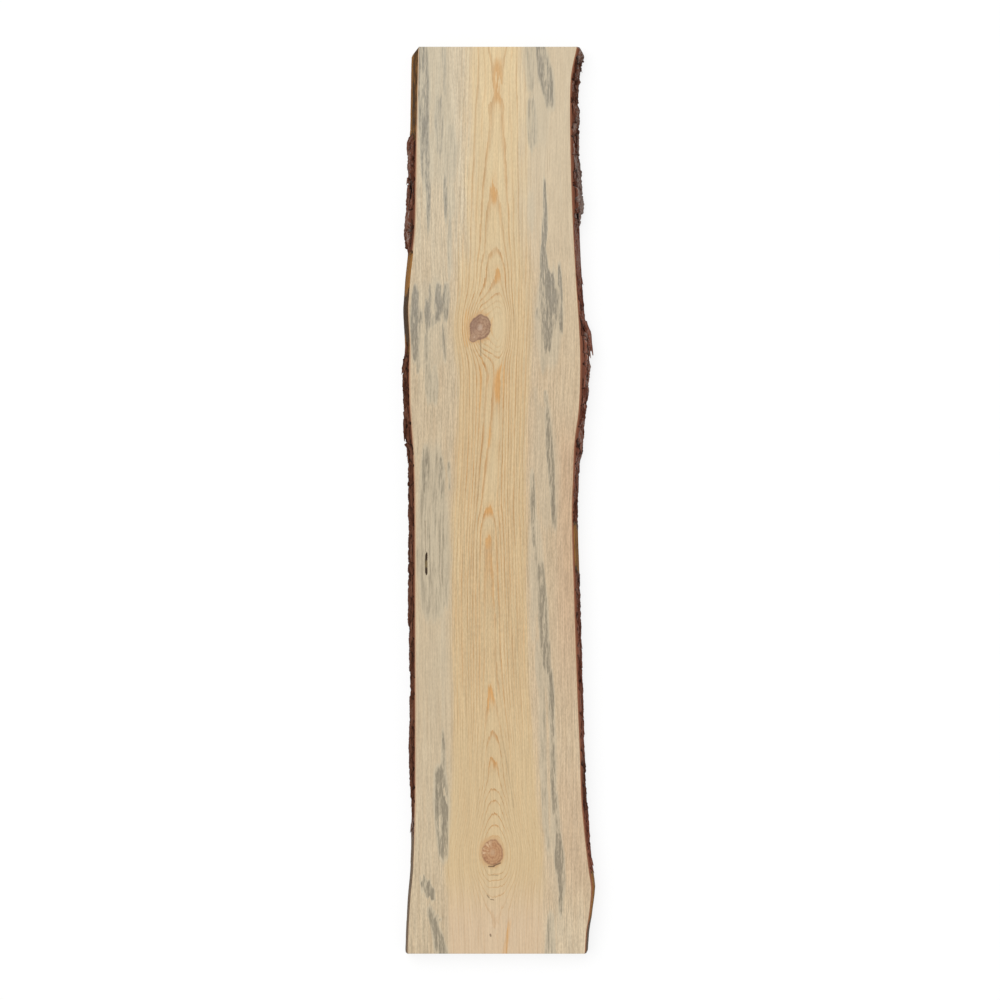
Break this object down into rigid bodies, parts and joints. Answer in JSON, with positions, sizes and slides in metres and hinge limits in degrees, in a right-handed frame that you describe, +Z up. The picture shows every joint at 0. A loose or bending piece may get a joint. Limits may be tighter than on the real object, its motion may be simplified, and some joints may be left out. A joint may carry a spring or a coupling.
{
  "type": "live-edge timber plank",
  "caption": "Sawn softwood plank with natural wavy edges and bark left on both long sides, for shelves, tabletops and rustic cladding.",
  "frame": {"origin": "centre of the bounding box at the lower sawn face, on which the plank lies", "axes": "+Y along the length from the foot of the trunk to its head, +X across the width, +Z up from the lower to the upper sawn face"},
  "size_m": [0.257, 1.2, 0.027],
  "materials": {
    "sawn_timber": "planed softwood with heartwood, sapwood, knots and grey-blue stain, matt",
    "bark": "rough scaly bark, dark brown outside and red-brown where sawn"
  },
  "bodies": {
    "root": {"timber_board": "sawn_timber", "bark_left": "bark", "bark_right": "bark"}
  },
  "joints": []
}
